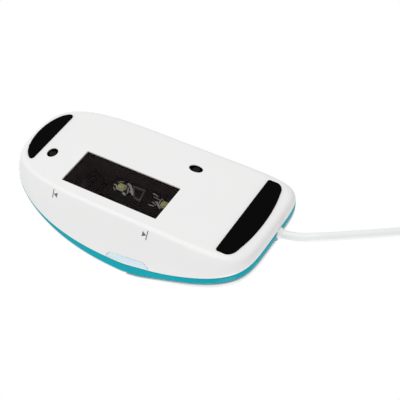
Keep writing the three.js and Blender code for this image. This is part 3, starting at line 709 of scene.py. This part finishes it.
def foot_outline(name, spread=0.0, steps=14):
    """The front foot is straight behind and bowed ahead; the rear foot is a crescent."""
    if name == "front_foot":
        half = [
            ((-44, 0), (-44, 20.2)), ((-44, 21.2), (-45, 21.2)), ((-46.5, 21.2), (-48, 21.2)),
            ((-51.1, 20.8), (-51.7, 16)), ((-53.5, 9), (-53.5, 0)),
        ]
    else:
        half = [
            ((46.4, 0), (46.4, 13.2)), ((46.4, 15.4), (48.1, 14.6)), ((50.4, 13.2), (51.9, 9.4)),
            ((53.6, 5.2), (53.6, 0)),
        ]
    points = [np.array(half[0][0], dtype=float)]
    for control, end in half:
        start = points[-1]
        control, end = np.array(control, dtype=float), np.array(end, dtype=float)
        for k in range(1, steps + 1):
            t = k / steps
            points.append(start * (1 - t) ** 2 + control * 2 * t * (1 - t) + end * t * t)
    ring = points[:-1] + [p * (1, -1) for p in points[:0:-1]]
    ring = np.array(ring)
    if spread:
        before = np.roll(ring, 1, axis=0)
        after = np.roll(ring, -1, axis=0)
        along = after - before
        along /= np.linalg.norm(along, axis=1, keepdims=True)
        out = np.stack([along[:, 1], -along[:, 0]], axis=1)
        centre = ring.mean(axis=0)
        if np.sum(out * (ring - centre)) < 0:
            out = -out
        ring = ring + out * spread
    return [tuple(p) for p in ring]


def scan_outline(spread=0.0, radius=0.9):
    """The scan button's face in X and Z: wide along the band, narrower below, rounded corners."""
    low = [(-16.2, 14.9), (-0.2, 17.4)]
    high = [(-18.6, 17.2), (2.0, 20.2)]
    corners = [low[0], low[1], high[1], high[0]]
    centre = np.mean(corners, axis=0)
    points = []
    for i, corner in enumerate(corners):
        corner = np.array(corner)
        before = np.array(corners[i - 1]) - corner
        after = np.array(corners[(i + 1) % 4]) - corner
        start = corner + before / np.linalg.norm(before) * radius
        end = corner + after / np.linalg.norm(after) * radius
        for t in np.linspace(0, 1, 7):
            points.append(start * (1 - t) ** 2 + corner * 2 * t * (1 - t) + end * t * t)
        for t in np.linspace(0, 1, 12)[1:-1]:
            far = np.array(corners[(i + 1) % 4])
            far_start = far - after / np.linalg.norm(after) * radius
            points.append(end + (far_start - end) * t)
    ring = np.array(points)
    if spread:
        size = np.abs(ring - centre).max(axis=0)
        ring = centre + (ring - centre) * (1 + spread / size)
    return ring


def make_bottom_case():
    rings = []
    for u in np.linspace(0, 1, 9):
        angle = u * math.pi / 2
        z = SOLE_Z + SOLE_RADIUS * (1 - math.cos(angle))
        rings.append(wall_ring(TURNS, z, SOLE_RADIUS * (1 - math.sin(angle))))
    start = SOLE_Z + SOLE_RADIUS
    top = rim_height(TURNS)
    for u in np.linspace(0, 1, 25)[1:-1]:
        rings.append(wall_ring(TURNS, start + (top - 0.25 - start) * u))
    for degrees in (0, 30, 60, 90):
        angle = math.radians(degrees)
        z = top - 0.25 * (1 - math.sin(angle))
        rings.append(wall_ring(TURNS, z, 0.25 * (1 - math.cos(angle))))
    for u in np.linspace(1, 0, 9):
        z = CEILING + (top - CEILING) * u
        rings.append(wall_ring(TURNS, z, WALL))
    case = loft("bottom_shell", rings, PAINT["shell"], sharp=None)
    x0, x1, y0, y1 = window_edges()
    rebate = WINDOW["rebate"]
    opening = mouth(lambda s: rounded_rectangle(x0, x1, y0, y1, 0.35, s), 3)
    tools = [
        loft("tool", opening, PAINT["shell"], sharp=None),
        loft("tool", box_rings(
            x0 - rebate, x1 + rebate, y0 - rebate, y1 + rebate, SOLE_Z + WINDOW["recess"], CEILING + 1, 0.3,
        ), PAINT["shell"], sharp=None),
    ]
    for x, y, rx, ry in TRACKERS.values():
        hole = mouth(lambda s: circle(x, y, rx + s, ry + s), 3, 0.3)
        tools.append(loft("tool", hole, PAINT["shell"], sharp=None))
    for name in ("front_foot", "rear_foot"):
        rings = [at_height(foot_outline(name, 0.18), z) for z in (SOLE_Z - 1, FOOT_TOP)]
        tools.append(loft("tool", rings, PAINT["shell"], sharp=None))
    button = [[(x, y, z) for x, z in scan_outline(CAD_GAP)] for y in (-36, -24)]
    tools.append(loft("tool", button, PAINT["shell"], sharp=None))
    tools.append(cord_hole(BORE_CLEARANCE, PAINT["shell"]))
    for screw in ("front_left", "front_right", "rear_left", "rear_right"):
        x, y, _ = middle_of(f"case_screw_{screw}")
        well = turned("tool", [(2.6, -1), (2.6, 2), (1.3, 2), (1.3, 4)], PAINT["shell"], 32, None)
        tools.append(place(well, Matrix.Translation((x, y, 0))))
    carve(case, tools)
    shade(case)
    return stand_for(case, "shell", "bottom_case")


def make_band():
    """The trim band stands a hair proud of the case, with rounded edges."""
    low, high = band_edge(TURNS, -1), band_edge(TURNS, 1)
    edge = np.minimum(0.45, (high - low) / 2.4)
    rings = []
    angles = [math.radians(a) for a in (90, 60, 30, 0)]
    for level, side, order in ((low, 1, angles), (high, -1, angles[::-1])):
        for angle in order:
            x, y = outline(WAIST, TURNS, -BAND_PROUD)
            x, y = pull_in(x, y, edge * (1 - math.cos(angle)))
            rings.append(np.stack([x, y, level + side * edge * (1 - math.sin(angle))], axis=-1))
    for z in (high, low):
        x, y = outline(WAIST, TURNS, BAND_WALL)
        rings.append(np.stack([x, y, z], axis=-1))
    band = loft("waist_band", rings, PAINT["trim"], "joined", sharp=None)
    carve(band, [cord_hole(BORE_CLEARANCE, PAINT["trim"])])
    lugs = []
    for screw in ("front_left", "front_right"):
        x, y, _ = middle_of(f"case_screw_{screw}")
        profile = [(1, CEILING + CAD_GAP), (2.6, CEILING + CAD_GAP), (2.6, 10.9), (1, 10.9)]
        rings = [at_height(circle(x, y, r, r, 32), z) for r, z in profile]
        lugs.append(loft("lug", rings, PAINT["trim"], "joined"))
        lugs.append(box("lug_arm", (-57, x - 2.3, y - 2.6, y + 2.6, 5.4, 8), PAINT["trim"], 0.3))
    band = merge("trim_ring", [band, *lugs])
    return stand_for(band, "trim", "trim_band")


def pull_in(x, y, drop):
    """Moves an outline inwards, square to itself, by drop."""
    dx = np.roll(x, -1) - np.roll(x, 1)
    dy = np.roll(y, -1) - np.roll(y, 1)
    length = np.hypot(dx, dy)
    return x - dy / length * drop, y + dx / length * drop


def make_feet():
    for name in ("front_foot", "rear_foot"):
        edge = 0.22
        levels = [(edge * (1 - math.cos(math.radians(a))), -edge * (1 - math.sin(math.radians(a))))
                  for a in (0, 25, 50, 75, 90)]
        rings = [at_height(foot_outline(name, spread), z) for z, spread in levels]
        rings.append(at_height(foot_outline(name), FOOT_TOP))
        stand_for(loft(f"{name}_pad", rings, PAINT["foot"]), "foot", name)


def make_sleeves():
    """Thin black sleeves line the two tracking holes up to the sensor boards: painted shade that darkens
    the holes' insides.
    """
    for name, (x, y, rx, ry) in TRACKERS.items():
        rings = []
        for spread, z in ((-0.02, SLEEVE["low"]), (-0.02, SLEEVE["high"]),
                          (-SLEEVE["wall"], SLEEVE["high"]), (-SLEEVE["wall"], SLEEVE["low"])):
            rings.append(at_height(circle(x, y, rx + spread, ry + spread), z))
        sleeve = loft(f"{name}_tracking_shade_sleeve", rings, PAINT["foot"], "joined")
        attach(sleeve, "mouse_body")


def make_window():
    low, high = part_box("window_glass")
    corners = (low[0] / MM, high[0] / MM, low[1] / MM, high[1] / MM, low[2] / MM, high[2] / MM)
    pane = box("window_pane", corners, PAINT["window"], 0.5, 0.1)
    return stand_for(pane, "window", "window_glass")


# Top --------------------------------------------------------------------------------------

SPLIT_X = -7.0
SPLIT_GAP = 0.5
KEY_PIN = {"x": -9.0, "z": 26.5, "radius": 1.08, "hole": 20.2}
WHEEL = {"x": -31.5, "z": 18.0, "radius": 12.5, "half": 3.5, "slot": 4.3}
LIFT_STEPS = 44


def dome_shell(name, edge_gap, material):
    """The whole top skin, with a rounded lower edge; the covers are cut from it."""
    lifts = np.linspace(0, DOME_LIMIT, LIFT_STEPS)
    rings = [dome_ring(TURNS, lift, 0, edge_gap) for lift in reversed(lifts)]
    edge = 0.3
    last = rings.pop()
    for degrees in (0, 30, 60, 90):
        angle = math.radians(degrees)
        x, y = pull_in(last[:, 0], last[:, 1], edge * (1 - math.cos(angle)))
        rings.append(np.stack([x, y, last[:, 2] + edge * (1 - math.sin(angle))], axis=-1))
    rings += [dome_ring(TURNS, lift, WALL, edge_gap) for lift in lifts]
    return loft(name, rings, material, sharp=None)


def dome_inside(edge_gap, material):
    lifts = np.linspace(0, DOME_LIMIT, LIFT_STEPS // 2)
    rings = [dome_ring(TURNS, lift, WALL / 2, edge_gap) for lift in lifts]
    floor = rings[0].copy()
    floor[:, 2] = 0
    return loft("inside", [floor, *rings], material, sharp=None)


def prism_y(points, y0, y1, material):
    rings = [[(x, y, z) for x, z in points] for y in (y0, y1)]
    return loft("prism", rings, material, sharp=None)


def pin_hole(material):
    radius, reach = KEY_PIN["radius"], KEY_PIN["hole"]
    hole = turned("hole", [(radius, -reach), (radius, reach)], material, 24, None)
    return place(hole, along_y(KEY_PIN["x"], KEY_PIN["z"]))


def make_palm_cover():
    material = PAINT["shell"]
    skin = dome_shell("palm_shell", PALM_GAP, material)
    keep = box("keep", (SPLIT_X + SPLIT_GAP / 2, 70, -40, 40, 0, 50), material, 0.01)
    carve(skin, [keep], "INTERSECT")
    lug = [(-10.8, 24.8), (-3, 24.8), (-3, 33), (-5.8, 33), (-5.8, 28.4), (-10.8, 28.4)]
    ribs = [prism_y(lug, side * 11.2 - 1.2, side * 11.2 + 1.2, material) for side in (-1, 1)]
    pilots = []
    for screw in ("rear_left", "rear_right"):
        x, y, _ = middle_of(f"case_screw_{screw}")
        stem = turned("stem", [(2.5, CEILING + CAD_GAP), (2.5, 24)], material, 32, None)
        ribs.append(place(stem, Matrix.Translation((x, y, 0))))
        pilot = turned("pilot", [(1, 0), (1, 14)], material, 24, None)
        pilots.append(place(pilot, Matrix.Translation((x, y, 0))))
    for rib in ribs:
        carve(rib, [dome_inside(PALM_GAP, material)], "INTERSECT")
    carve(skin, ribs, "UNION")
    carve(skin, [*pilots, pin_hole(material)])
    return stand_for(shade(skin), "shell", "palm_cover")


def wheel_slot(material):
    """The keys' opening over the wheel, round at both ends, half in each key."""
    half, reach = WHEEL["slot"], 13.6
    x0, x1 = WHEEL["x"] - reach, WHEEL["x"] + reach
    return loft("slot", box_rings(x0, x1, -half, half, 0, 50, half - 0.3), material, sharp=None)


def make_key(side, name):
    material = PAINT["key"]
    skin = dome_shell(f"{name}_shell", KEY_GAP, material)
    y0, y1 = sorted((side * 40.0, side * SPLIT_GAP / 2))
    keep = box("keep", (-70, SPLIT_X - SPLIT_GAP / 2, y0, y1, 0, 50), material, 0.01)
    carve(skin, [keep], "INTERSECT")
    lug = [(-10.8, 24.8), (-7.4, 24.8), (-7.4, 33), (-10.8, 33)]
    ribs = [prism_y(lug, side * y - 1.2, side * y + 1.2, material) for y in (5.4, 16.4)]
    x, y, _ = middle_of(f"{name}_plunger")
    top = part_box(f"{name}_plunger")[1][2] / MM
    presser = (x - 1, x + 1, y - 2, y + 2, top + 0.3, 30)
    ribs.append(box("presser", presser, material, 0.2))
    for rib in ribs:
        carve(rib, [dome_inside(KEY_GAP, material)], "INTERSECT")
    carve(skin, ribs, "UNION")
    notch = cord_hole(NOTCH_CLEARANCE, material)
    carve(skin, [wheel_slot(material), notch, pin_hole(material)])
    return stand_for(shade(skin), "key", name)


def make_wheel():
    """A ribbed rubber tyre on a teal hub; both are built round Z and laid along Y."""
    count = 252
    grooves = 28
    half = WHEEL["half"]
    profile = [
        (10.3, -half), (11.4, -half), (12.0, -half + 0.25), (12.4, -half + 0.8), (12.5, -half + 1.6),
        (12.5, half - 1.6), (12.4, half - 0.8), (12.0, half - 0.25), (11.4, half), (10.3, half),
    ]
    angles = np.arange(count) / count * 2 * math.pi
    rib = 0.5 + 0.5 * np.cos(grooves * angles)
    cut = 0.45 * np.clip(1.3 - 2.2 * rib, 0, 1)
    rings = []
    for radius, height in profile:
        depth = cut * min(1, max(0, (radius - 11.4) / 0.9))
        r = radius - depth
        rings.append(np.stack([r * np.cos(angles), r * np.sin(angles), height + 0 * r], axis=-1))
    tyre = loft("tyre_rubber", rings, PAINT["foot"], "joined", sharp=40)
    hub_profile = [
        (1.08, -half), (2.4, -half), (2.4, -half + 0.9), (8.6, -half + 0.9), (8.8, -half + 0.1),
        (9.8, -half + 0.1), (10.0, -half + 0.3), (10.0, half - 0.3), (9.8, half - 0.1),
        (8.8, half - 0.1), (8.6, half - 0.9),
        (2.4, half - 0.9), (2.4, half), (1.08, half),
    ]
    rings = [at_height(circle(0, 0, r, r, 96), z) for r, z in hub_profile]
    hub = loft("hub_moulding", rings, PAINT["trim"], "joined")
    lay = along_y(WHEEL["x"], WHEEL["z"])
    stand_for(place(tyre, lay), "foot", "wheel_tyre")
    stand_for(place(hub, lay), "trim", "wheel_hub")


# Scan button and printed marks ------------------------------------------------------------


def make_scan_button():
    """The cap follows the wall's curve a little proud of it, with rounded edges."""
    outline_points = scan_outline()
    centre = outline_points.mean(axis=0)
    size = np.abs(outline_points - centre).max(axis=0)
    rings = [[(x, -27.2, z) for x, z in outline_points]]
    for inset, proud in ((0.0, -0.1), (0.08, 0.1), (0.25, 0.22), (0.5, 0.27)):
        ring = centre + (outline_points - centre) * (1 - inset / size)
        rings.append([left_wall(x, z, proud) for x, z in ring])
    last = centre + (outline_points - centre) * (1 - 0.5 / size)
    for share in (0.85, 0.65, 0.45, 0.25, 0.08):
        ring = centre + (last - centre) * share
        rings.append([left_wall(x, z, 0.27) for x, z in ring])
    cap = loft("scan_cap", rings, PAINT["scan"], sharp=60)
    flange = prism_y([tuple(p) for p in scan_outline(0.8)], -27.4, -26.7, PAINT["scan"])
    x, _, z = middle_of("scan_plunger")
    stem = box("stem", (x - 1.5, x + 1.5, -27, -26.2, z - 1.5, z + 1.5), PAINT["scan"], 0.3)
    button = merge("scan_cap_moulding", [cap, flange, stem])
    return stand_for(button, "scan", "scan_button")


def printed(name, outlines):
    """Thin printed shapes on the left wall: outlines in X and Z, laid on the curve."""
    points = []
    faces = []
    for shape in outlines:
        shape = np.array(shape, dtype=float)
        dense = []
        for a, b in zip(shape, np.roll(shape, -1, axis=0)):
            dense += [a + (b - a) * t for t in np.linspace(0, 1, 8, endpoint=False)]
        dense = np.array(dense)
        centre = dense.mean(axis=0)
        start = len(points)
        levels = [(1.0, -0.05), (1.0, 0.02), (0.66, 0.02), (0.33, 0.02), (0.02, 0.02)]
        for share, proud in levels:
            ring = centre + (dense - centre) * share
            points += [left_wall(x, z, proud) for x, z in ring]
        count = len(dense)
        for level in range(len(levels) - 1):
            for i in range(count):
                j = (i + 1) % count
                a = start + level * count
                faces.append((a + i, a + j, a + count + j, a + count + i))
        faces.append(tuple(start + i for i in range(count - 1, -1, -1)))
        faces.append(tuple(start + (len(levels) - 1) * count + i for i in range(count)))
    mark = from_faces(name, points, faces, PAINT["print"], None)
    face_out(mark)
    mark.data.shade_smooth()
    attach(mark, "mouse_body")


MARK = {"low": 1.6, "high": 4.9, "bar": 0.4, "tip": 0.25, "length": 1.9, "half": 0.95}


def make_marks():
    """A bar and an arrow at each end of the scan window's length."""
    x0, x1, _, _ = window_edges()
    middle = (MARK["low"] + MARK["high"]) / 2
    for name, x, side in (("mark_rear", x1 + 0.05, -1), ("mark_front", x0 - 0.35, 1)):
        bar = [(x - MARK["bar"] / 2, MARK["low"]), (x + MARK["bar"] / 2, MARK["low"]),
               (x + MARK["bar"] / 2, MARK["high"]), (x - MARK["bar"] / 2, MARK["high"])]
        tip = x + side * MARK["tip"]
        tail = tip + side * MARK["length"]
        arrow = [(tip, middle), (tail, middle + MARK["half"]), (tail, middle - MARK["half"])]
        printed(name, [bar, arrow])


# Optics behind the window -----------------------------------------------------------------

LED = {"x": 10.4, "y": -4.2}


def ribbon(name, path, width, thick, material):
    """A bent strip of sheet: a path of points in X, Y and Z with the strip's width lying level."""
    path = [np.array(point, dtype=float) for point in path]
    rings = []
    for i, point in enumerate(path):
        along = path[min(i + 1, len(path) - 1)] - path[max(i - 1, 0)]
        side = np.array([-along[1], along[0], 0.0])
        side /= np.linalg.norm(side)
        up = np.cross(along / np.linalg.norm(along), side)
        ring = []
        for a, b in ((-1, -1), (1, -1), (1, 1), (-1, 1)):
            ring.append(tuple(point + side * a * width / 2 + up * b * thick / 2))
        rings.append(ring)
    return loft(name, rings, material, sharp=50)


# Each clip's strips: points along the strip, and the strip's width.
CLIPS = {
    "rear": [
        ([(13.6, -4.7, 8.3), (12.6, -4.9, 8), (11.4, -5.7, 8), (10.2, -6.8, 8.2)], 0.6),
        ([(8.9, -1.5, 8.4), (7, -2.6, 8), (5.3, -4.3, 8.1), (3.7, -6, 8.6)], 1),
        ([(8.2, -6.6, 8.8), (7.1, -7.4, 8.1), (6.3, -7.8, 8.3)], 0.9),
        ([(6.2, -4.4, 8.9), (5.6, -5, 8), (5.1, -5.3, 8.4)], 0.8),
        ([(12.9, -2.9, 8.4), (11.9, -2.5, 8), (10.9, -1.7, 8.3)], 0.35),
        ([(9.2, -2.6, 8.5), (8.3, -3.7, 8), (7.7, -5.1, 8.4)], 0.3),
        ([(7.6, -3.4, 8.4), (6.6, -4.9, 8), (6, -6.5, 8.4)], 0.4),
        ([(13, -6.1, 8.4), (12.2, -6.9, 8), (11.3, -7.4, 8.3)], 0.3),
    ],
    "front": [
        ([(-3.3, -1.6, 8.1), (-4.8, -1.8, 8), (-6.2, -2.2, 8.2)], 0.4),
        ([(-4.9, -7.7, 8.2), (-6.2, -7.6, 8.1), (-7.4, -7.4, 8.2)], 0.35),
        ([(-6.4, -4.6, 8.5), (-7.8, -5.4, 8), (-9, -6.5, 8), (-10, -7, 8.6)], 0.8),
        ([(-12.2, -3, 8.6), (-11.9, -4.3, 8.1), (-12.4, -5.6, 8.6)], 0.5),
        ([(-4.4, -3, 8.3), (-6, -3.3, 8), (-7.8, -3.2, 8.3)], 0.25),
        ([(-5.2, -5.5, 8.4), (-6.6, -6.2, 8), (-7.9, -6.6, 8.3)], 0.3),
        ([(-8.2, -2, 8.4), (-8, -3.4, 8), (-8.3, -4.9, 8.4)], 0.4),
    ],
}


def make_lights():
    """White diode bodies with yellow phosphor, and the bright folded clips that hold them."""
    for name, side in (("rear", 1), ("front", -1)):
        x, y = LED["x"] * side, LED["y"]
        body = box("led_body", (x - 1.8, x + 1.8, y - 1.8, y + 1.8, 8.7, 9.35), PAINT["cream"], 0.2, 0.08)
        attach(body, "mouse_body")
        body.name = f"led_{name}_body"
        profile = [(1.45, 8.9), (1.45, 8.5), (1.3, 8.2), (0.9, 8.02), (0.2, 7.95)]
        dome = turned("dome", profile, PAINT["phosphor"], 32)
        place(dome, Matrix.Translation((x, y, 0)))
        dome.name = f"led_{name}_phosphor"
        stand_for(dome, "phosphor", f"led_{name}")
        strips = [ribbon("strip", path, width, 0.2, PAINT["clip"]) for path, width in CLIPS[name]]
        stand_for(merge(f"led_{name}_clip", strips), "steel", f"reflector_{name}")


# The diffuser's frame in plan, with corners out of square, and its rim's width.
FRAME_CORNERS = [(6.3, -1.6), (0.6, -1.3), (-1, -7.8), (2.5, -7.4)]
FRAME_RIM = 0.8


def make_diffuser_frame():
    corners = np.array(FRAME_CORNERS)
    centre = corners.mean(axis=0)
    inner = centre + (corners - centre) * (1 - 2 * FRAME_RIM / np.ptp(corners, axis=0).min())
    rings = [at_height(ring, z) for ring, z in
             ((corners, 8.9), (corners, 8.15), (inner, 8.15), (inner, 8.9))]
    frame_ring = loft("diffuser_ring", rings, PAINT["frame"], "joined")
    return stand_for(frame_ring, "grey", "diffuser_frame")


make_bottom_case()
make_band()
make_feet()
make_sleeves()
make_window()
make_palm_cover()
make_key(-1, "left_key")
make_key(1, "right_key")
make_wheel()
make_scan_button()
make_marks()
make_lights()
make_diffuser_frame()

# Studio -----------------------------------------------------------------------------------


def make_floor():
    """A pale floor seen from above only, so the underside shows from below."""
    size = 2.5
    mesh = bpy.data.meshes.new("floor")
    z = -0.0001
    corners = [(-size, -size, z), (size, -size, z), (size, size, z), (-size, size, z)]
    mesh.from_pydata(corners, [], [(0, 1, 2, 3)])
    material = bpy.data.materials.new("floor_pale")
    material.use_nodes = True
    nodes, links = material.node_tree.nodes, material.node_tree.links
    nodes.remove(nodes["Principled BSDF"])
    diffuse = nodes.new("ShaderNodeBsdfDiffuse")
    diffuse.inputs["Color"].default_value = (0.74, 0.74, 0.75, 1)
    through = nodes.new("ShaderNodeBsdfTransparent")
    side = nodes.new("ShaderNodeNewGeometry")
    mix = nodes.new("ShaderNodeMixShader")
    links.new(side.outputs["Backfacing"], mix.inputs["Fac"])
    links.new(diffuse.outputs["BSDF"], mix.inputs[1])
    links.new(through.outputs["BSDF"], mix.inputs[2])
    links.new(mix.outputs["Shader"], nodes["Material Output"].inputs["Surface"])
    floor = add_object("floor", mesh, material)
    floor.visible_shadow = False
    floor.visible_diffuse = False
    floor.visible_glossy = False
    floor.visible_transmission = False


def make_light(name, place_at, aim, power, size):
    data = bpy.data.lights.new(name, "AREA")
    data.energy = power
    data.shape = "SQUARE"
    data.size = size
    light = bpy.data.objects.new(name, data)
    light.location = place_at
    light.rotation_euler = (Vector(aim) - Vector(place_at)).to_track_quat("-Z", "Y").to_euler()
    bpy.context.collection.objects.link(light)


def make_world():
    world = bpy.data.worlds.new("studio")
    bpy.context.scene.world = world
    world.use_nodes = True
    nodes, links = world.node_tree.nodes, world.node_tree.links
    soft = nodes["Background"]
    soft.inputs["Color"].default_value = (0.97, 0.98, 1, 1)
    soft.inputs["Strength"].default_value = 0.78
    backdrop = nodes.new("ShaderNodeBackground")
    backdrop.inputs["Strength"].default_value = 1
    backdrop.inputs["Color"].default_value = (1, 1, 1, 1)
    path = nodes.new("ShaderNodeLightPath")
    mix = nodes.new("ShaderNodeMixShader")
    links.new(path.outputs["Is Camera Ray"], mix.inputs["Fac"])
    links.new(soft.outputs["Background"], mix.inputs[1])
    links.new(backdrop.outputs["Background"], mix.inputs[2])
    links.new(mix.outputs["Shader"], nodes["World Output"].inputs["Surface"])


make_floor()
make_world()
make_light("underside_light", (0.35, -0.25, -0.9), (0, 0, 0), 3.3, 0.7)
make_light("key_light", (-0.5, -0.6, 0.9), (0, 0, 0.01), 4.5, 0.6)
make_light("fill_light", (0.7, 0.6, 0.7), (0, 0, 0.01), 2.0, 0.8)
bpy.context.scene.view_settings.view_transform = "Standard"
